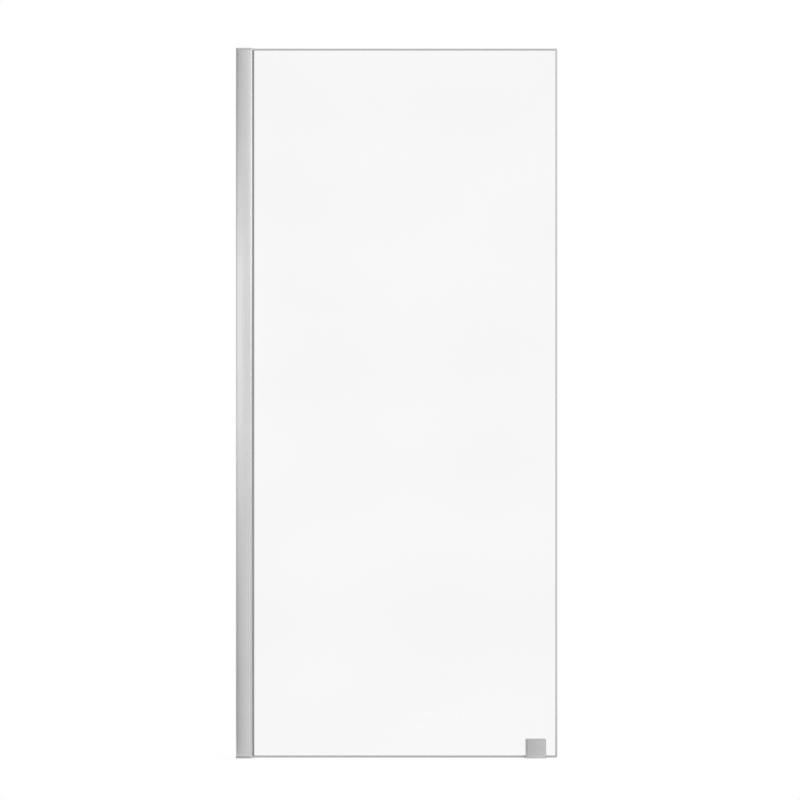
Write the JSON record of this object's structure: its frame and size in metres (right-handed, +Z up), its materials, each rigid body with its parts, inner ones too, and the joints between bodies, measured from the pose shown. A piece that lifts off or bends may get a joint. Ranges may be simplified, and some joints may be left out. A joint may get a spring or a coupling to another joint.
{
  "type": "fixed shower glass panel",
  "caption": "Clear fixed shower screen held by an adjustable two-part wall profile along one edge and by a clamp on the tray near its free end.",
  "frame": {"origin": "on the wall plane, in the middle of the glass's thickness, at the level of the tray", "axes": "+X from the wall to the free edge of the glass, +Y from the front face to the back of the panel, +Z up"},
  "size_m": [0.905, 0.0526, 2],
  "materials": {
    "satin_aluminium": "extruded and bright anodised, satin",
    "satin_chrome": "cast zinc, satin chrome plated",
    "stainless_steel": "turned stainless steel",
    "grey_plastic": "moulded ABS, fine matt",
    "grey_seal": "extruded elastomer, matt",
    "clear_plastic": "translucent moulded plastic",
    "clear_glass": "toughened float glass, ground and polished edges"
  },
  "bodies": {
    "wall_frame": {"wall_channel": "satin_aluminium", "channel_cover_strip": "satin_aluminium", "lock_screws": "stainless_steel", "channel_top_cap": "grey_plastic", "channel_bottom_cap": "grey_plastic", "cap_screws": "stainless_steel"},
    "glass_panel": {"glass_pane": "clear_glass", "glass_carrier": "satin_aluminium", "carrier_top_plug": "grey_plastic", "carrier_bottom_plug": "grey_plastic", "glazing_gasket_front": "grey_seal", "glazing_gasket_rear": "grey_seal", "edge_packers": "clear_plastic", "foot_body": "satin_chrome", "foot_front_plate": "satin_chrome", "foot_gasket_front": "clear_plastic", "foot_gasket_rear": "clear_plastic", "foot_clamp_screws": "stainless_steel", "foot_bolt_sleeves": "clear_plastic", "foot_setting_pad": "clear_plastic"}
  },
  "joints": [
    {"name": "width_adjust", "type": "slide", "parent": "wall_frame", "child": "glass_panel", "axis": [1, 0, 0], "range_m": [-0.005, 0.02]}
  ]
}
